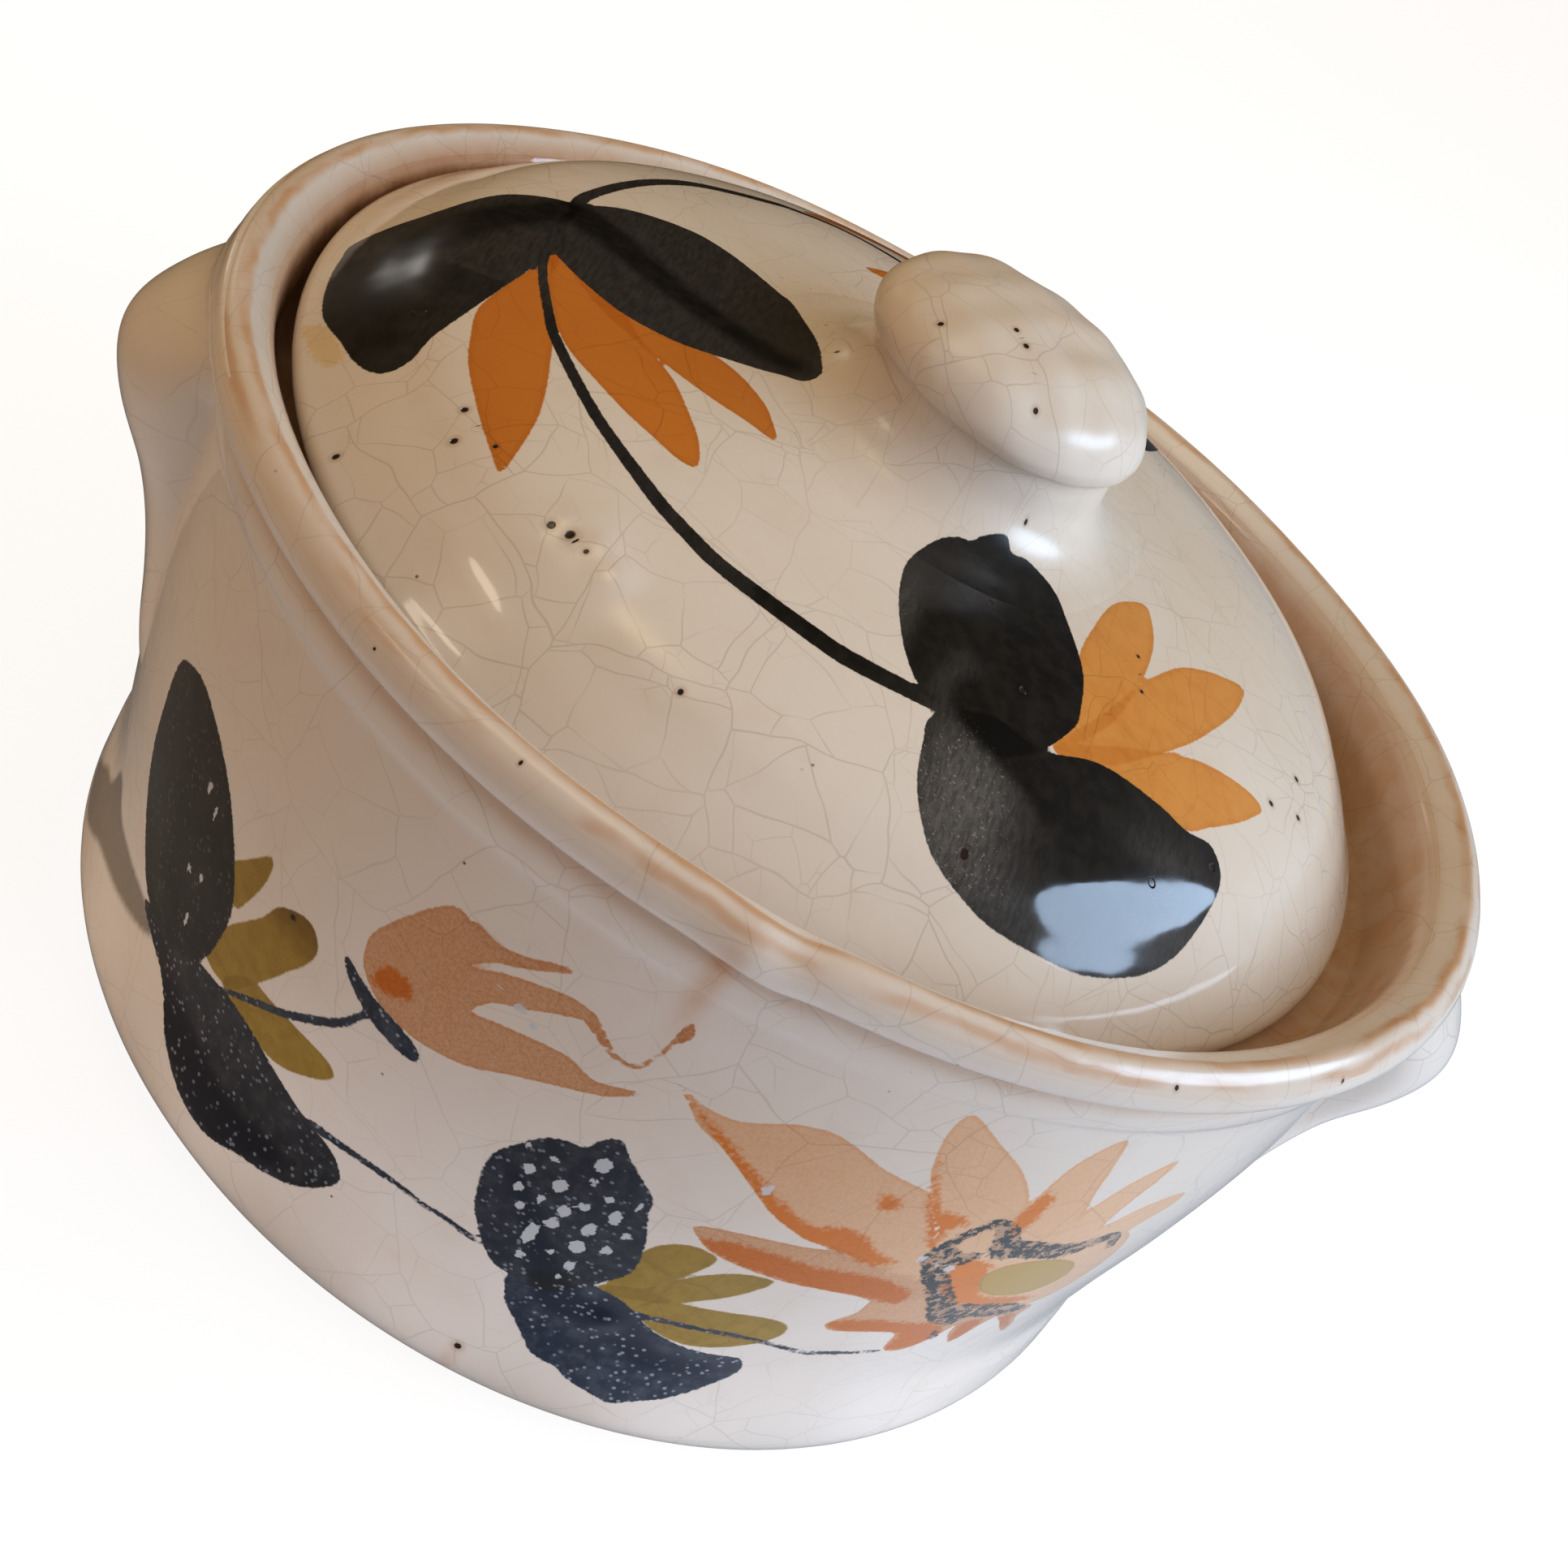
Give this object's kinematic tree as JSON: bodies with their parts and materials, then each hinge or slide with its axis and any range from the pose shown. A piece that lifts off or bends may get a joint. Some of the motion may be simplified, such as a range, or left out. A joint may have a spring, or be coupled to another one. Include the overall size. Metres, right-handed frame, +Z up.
{
  "type": "covered ceramic casserole",
  "caption": "Round glazed earthenware casserole with a rolled lip, a shallow waist, two ear lugs and a domed lid with a mushroom knob that drops onto an inner ledge.",
  "frame": {"origin": "on the table under the pot's axis, at the bottom centre of the whole object", "axes": "+Z up along the pot's axis; the lugs point along -X and +X, each turned 11.5 degrees towards -Y; -Y is the painted front"},
  "size_m": [0.231, 0.2146, 0.1494],
  "materials": {
    "pot_glaze": "glossy crazed white glaze, brushed flowers and leaves",
    "lid_glaze": "glossy crazed ivory glaze, brushed flower and leaves"
  },
  "bodies": {
    "pot": {"pot_body": "pot_glaze", "lug_left": "pot_glaze", "lug_right": "pot_glaze"},
    "lid": {"lid_dome": "lid_glaze", "lid_knob": "lid_glaze"}
  },
  "joints": [
    {"name": "lid_lift", "type": "slide", "parent": "pot", "child": "lid", "axis": [0, 0, 1], "range_m": [0, 0.12]}
  ]
}
